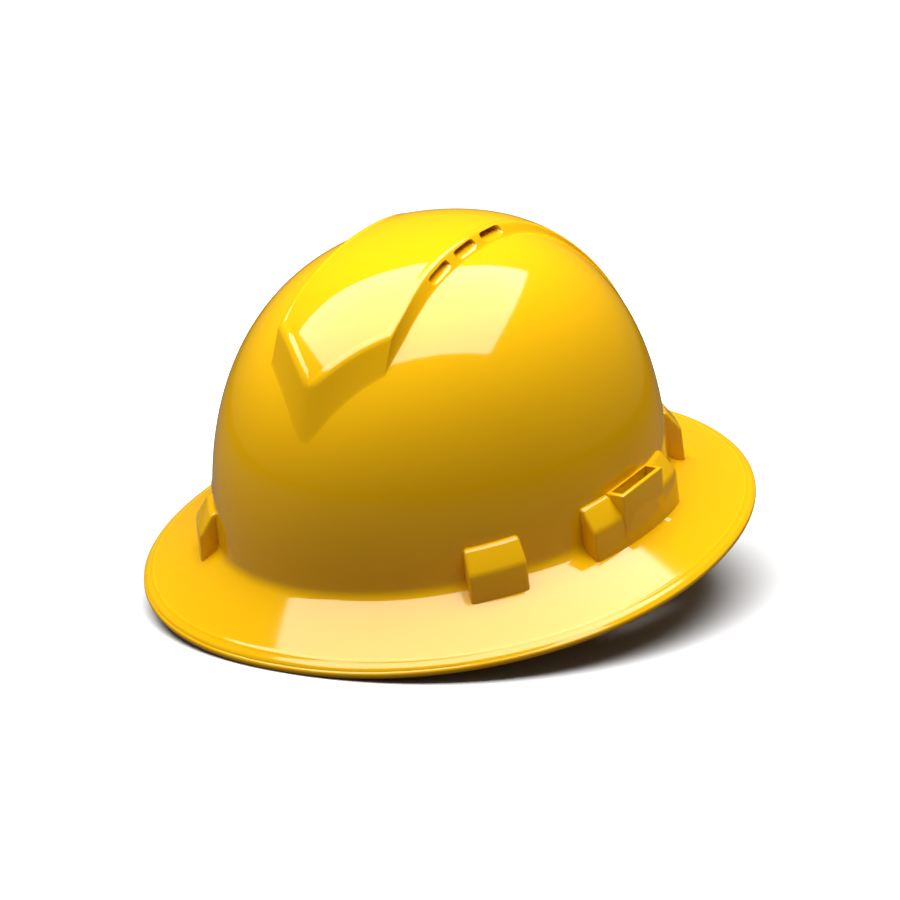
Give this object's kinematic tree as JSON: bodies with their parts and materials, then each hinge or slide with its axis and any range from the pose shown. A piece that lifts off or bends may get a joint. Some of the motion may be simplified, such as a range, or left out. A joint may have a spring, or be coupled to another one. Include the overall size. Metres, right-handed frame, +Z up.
{
  "type": "full brim hard hat",
  "caption": "Full brim hard hat with a raised ventilated crown panel, lugs and accessory slots round the dome, strap suspension and a nape ratchet.",
  "frame": {"origin": "centre of the bounding box on the floor the hat is put down on", "axes": "+X towards the wearer's left, +Y towards the back of the hat, +Z up from the floor; the hat leans forward on its front rim and its nape ratchet"},
  "size_m": [0.278, 0.3146, 0.1789],
  "materials": {
    "shell_yellow": "glossy",
    "suspension_plastic": "satin",
    "knob_plastic": "matte",
    "webbing": "woven",
    "pad_fabric": "soft",
    "spring_plastic": "satin",
    "screw_steel": "zinc plated"
  },
  "bodies": {
    "shell": {"hat_shell": "shell_yellow"},
    "cradle": {"key_front_left": "suspension_plastic", "key_front_right": "suspension_plastic", "key_rear_left": "suspension_plastic", "key_rear_right": "suspension_plastic", "crown_strap_upper": "webbing", "crown_strap_lower": "webbing", "headband": "suspension_plastic", "brow_pad": "pad_fabric"},
    "ratchet": {"ratchet_base": "suspension_plastic", "ratchet_cover": "suspension_plastic", "detent_spring": "spring_plastic", "nape_pad": "pad_fabric"},
    "knob": {"adjuster_knob": "knob_plastic", "pinion": "spring_plastic", "knob_screw": "screw_steel"},
    "left_strap": {"nape_strap_left": "suspension_plastic", "strap_stud_left": "suspension_plastic"},
    "right_strap": {"nape_strap_right": "suspension_plastic", "strap_stud_right": "suspension_plastic"}
  },
  "joints": [
    {"name": "suspension_release", "type": "slide", "parent": "shell", "child": "cradle", "axis": [0, 0.192, -0.9814], "range_m": [0, 0.045]},
    {"name": "nape_reach", "type": "slide", "parent": "cradle", "child": "ratchet", "axis": [0, 0.9814, 0.192], "range_m": [-0.02, 0.02]},
    {"name": "knob_turn", "type": "hinge", "parent": "ratchet", "child": "knob", "pos_m": [0, 0.08064, 0.01321], "axis": [0, 0.9814, 0.192], "range_deg": [-229.5, 229.5]},
    {"name": "left_strap_wind", "type": "hinge", "parent": "ratchet", "child": "left_strap", "pos_m": [0, 0.01391, 0.00016], "axis": [0, -0.192, 0.9814], "range_deg": [-14.5, 14.5]},
    {"name": "right_strap_wind", "type": "hinge", "parent": "ratchet", "child": "right_strap", "pos_m": [0, 0.01391, 0.00016], "axis": [0, -0.192, 0.9814], "range_deg": [-14.5, 14.5]}
  ],
  "couplings": [
    {"joint": "knob_turn", "follows": "nape_reach", "rad_per_m": 200},
    {"joint": "left_strap_wind", "follows": "nape_reach", "rad_per_m": -12.361},
    {"joint": "right_strap_wind", "follows": "nape_reach", "rad_per_m": 12.61}
  ]
}
